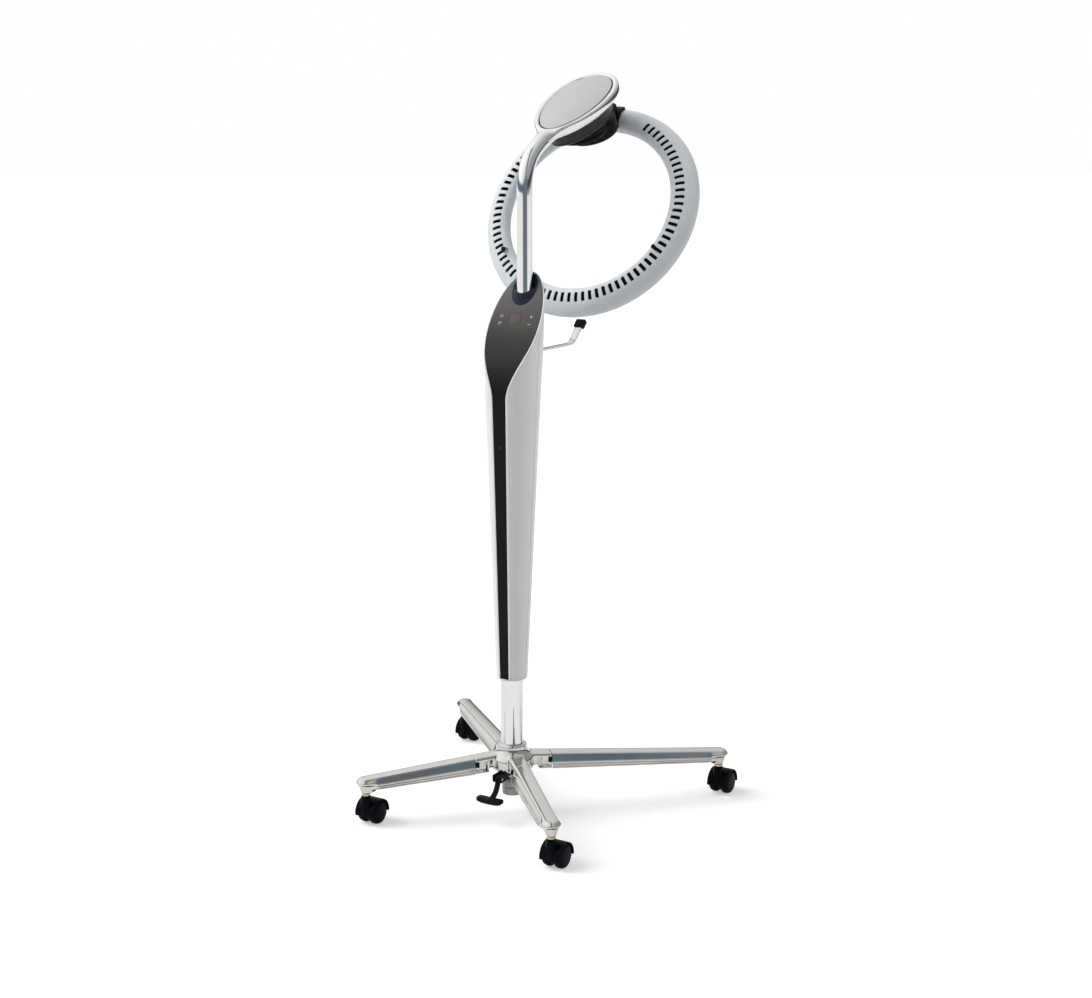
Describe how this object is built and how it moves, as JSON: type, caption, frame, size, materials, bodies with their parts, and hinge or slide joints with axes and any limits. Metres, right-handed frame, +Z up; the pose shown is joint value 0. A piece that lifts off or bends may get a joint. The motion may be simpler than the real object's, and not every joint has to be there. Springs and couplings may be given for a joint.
{
  "type": "hair color processor",
  "caption": "Free-standing salon hair color processor: slotted heater ring turning under a tilted drive head on a mast, with a tapered control column that rises on a pole over a caster base.",
  "frame": {"origin": "bottom centre of the bounding box, on the floor under the casters", "axes": "+X towards the client and the ring, -X towards the operator and the control panel, +Y to the left when facing +X, +Z up"},
  "size_m": [0.6882, 0.7156, 1.5604],
  "materials": {
    "bezel_blue_black": "satin",
    "black_plastic": "satin",
    "board_green": "matte",
    "brass": "polished",
    "casing_silver": "satin",
    "chrome": "polished",
    "dark_plastic": "satin",
    "display_red": "gloss",
    "panel_black": "gloss",
    "quartz": "frosted",
    "ring_plastic": "satin",
    "rubber": "matte",
    "satin_silver": "satin",
    "steel": "satin"
  },
  "bodies": {
    "base": {"hub_casting": "chrome", "leg_front_left": "chrome", "leg_front_right": "chrome", "leg_rear_left": "chrome", "leg_rear_right": "chrome", "caster_stem_front_left": "brass", "caster_stem_front_right": "brass", "caster_stem_rear_left": "brass", "caster_stem_rear_right": "brass", "lower_pole": "chrome", "pole_boss": "chrome", "gas_spring_cylinder": "steel", "pedal_bracket": "black_plastic", "pedal_pin": "steel"},
    "column": {"guide_sleeve": "steel", "gas_spring_rod": "steel", "column_spine": "steel", "mast_clamp": "steel", "casing_front": "casing_silver", "casing_rear_cover": "casing_silver", "casing_bottom_cap": "casing_silver", "control_panel": "panel_black", "display_window": "display_red", "control_board": "board_green", "mast_bezel": "bezel_blue_black", "power_inlet": "black_plastic", "mast_tube": "chrome", "ring_rest_bar": "chrome", "ring_rest_tip": "rubber", "head_frame": "chrome", "head_cover": "satin_silver", "head_housing": "dark_plastic", "head_bearing": "steel", "gear_motor": "steel"},
    "heater_ring": {"drive_shaft": "steel", "rotor_drum": "black_plastic", "ring_arm": "black_plastic", "ring_back_shell": "ring_plastic", "ring_front_guard": "ring_plastic", "ring_reflector": "satin_silver", "ring_heater": "quartz", "ring_sensor_left": "black_plastic", "ring_sensor_right": "black_plastic"},
    "pedal": {"foot_pedal": "black_plastic"},
    "caster_front_left": {"caster_hood_front_left": "black_plastic", "caster_axle_front_left": "steel"},
    "wheel_front_left_left": {"caster_wheel_front_left_left": "black_plastic"},
    "wheel_front_left_right": {"caster_wheel_front_left_right": "black_plastic"},
    "caster_front_right": {"caster_hood_front_right": "black_plastic", "caster_axle_front_right": "steel"},
    "wheel_front_right_left": {"caster_wheel_front_right_left": "black_plastic"},
    "wheel_front_right_right": {"caster_wheel_front_right_right": "black_plastic"},
    "caster_rear_left": {"caster_hood_rear_left": "black_plastic", "caster_axle_rear_left": "steel"},
    "wheel_rear_left_left": {"caster_wheel_rear_left_left": "black_plastic"},
    "wheel_rear_left_right": {"caster_wheel_rear_left_right": "black_plastic"},
    "caster_rear_right": {"caster_hood_rear_right": "black_plastic", "caster_axle_rear_right": "steel"},
    "wheel_rear_right_left": {"caster_wheel_rear_right_left": "black_plastic"},
    "wheel_rear_right_right": {"caster_wheel_rear_right_right": "black_plastic"}
  },
  "joints": [
    {"name": "column_height", "type": "slide", "parent": "base", "child": "column", "axis": [0, 0, 1], "range_m": [-0.12, 0.13]},
    {"name": "ring_turn", "type": "hinge", "parent": "column", "child": "heater_ring", "pos_m": [0.15438, 0, 1.492], "axis": [-0.4695, 0, 0.8829], "range_deg": [-180, 180]},
    {"name": "pedal_press", "type": "hinge", "parent": "base", "child": "pedal", "pos_m": [-0.16362, 0, 0.095], "axis": [0, 1, 0], "range_deg": [-15, 0], "stiffness_Nm_per_rad": 1.2, "springref_deg": 6.88},
    {"name": "swivel_front_left", "type": "hinge", "parent": "base", "child": "caster_front_left", "pos_m": [0.2154, 0.33449, 0.066], "axis": [0, 0, 1], "continuous": true},
    {"name": "roll_front_left_left", "type": "hinge", "parent": "caster_front_left", "child": "wheel_front_left_left", "pos_m": [0.2364, 0.34929, 0.025], "axis": [0, 1, 0], "continuous": true},
    {"name": "roll_front_left_right", "type": "hinge", "parent": "caster_front_left", "child": "wheel_front_left_right", "pos_m": [0.2364, 0.31969, 0.025], "axis": [0, 1, 0], "continuous": true},
    {"name": "swivel_front_right", "type": "hinge", "parent": "base", "child": "caster_front_right", "pos_m": [0.2154, -0.33449, 0.066], "axis": [0, 0, 1], "continuous": true},
    {"name": "roll_front_right_left", "type": "hinge", "parent": "caster_front_right", "child": "wheel_front_right_left", "pos_m": [0.2364, -0.31969, 0.025], "axis": [0, 1, 0], "continuous": true},
    {"name": "roll_front_right_right", "type": "hinge", "parent": "caster_front_right", "child": "wheel_front_right_right", "pos_m": [0.2364, -0.34929, 0.025], "axis": [0, 1, 0], "continuous": true},
    {"name": "swivel_rear_left", "type": "hinge", "parent": "base", "child": "caster_rear_left", "pos_m": [-0.32713, 0.22731, 0.066], "axis": [0, 0, 1], "continuous": true},
    {"name": "roll_rear_left_left", "type": "hinge", "parent": "caster_rear_left", "child": "wheel_rear_left_left", "pos_m": [-0.30613, 0.24211, 0.025], "axis": [0, 1, 0], "continuous": true},
    {"name": "roll_rear_left_right", "type": "hinge", "parent": "caster_rear_left", "child": "wheel_rear_left_right", "pos_m": [-0.30613, 0.21251, 0.025], "axis": [0, 1, 0], "continuous": true},
    {"name": "swivel_rear_right", "type": "hinge", "parent": "base", "child": "caster_rear_right", "pos_m": [-0.32713, -0.22731, 0.066], "axis": [0, 0, 1], "continuous": true},
    {"name": "roll_rear_right_left", "type": "hinge", "parent": "caster_rear_right", "child": "wheel_rear_right_left", "pos_m": [-0.30613, -0.21251, 0.025], "axis": [0, 1, 0], "continuous": true},
    {"name": "roll_rear_right_right", "type": "hinge", "parent": "caster_rear_right", "child": "wheel_rear_right_right", "pos_m": [-0.30613, -0.24211, 0.025], "axis": [0, 1, 0], "continuous": true}
  ]
}
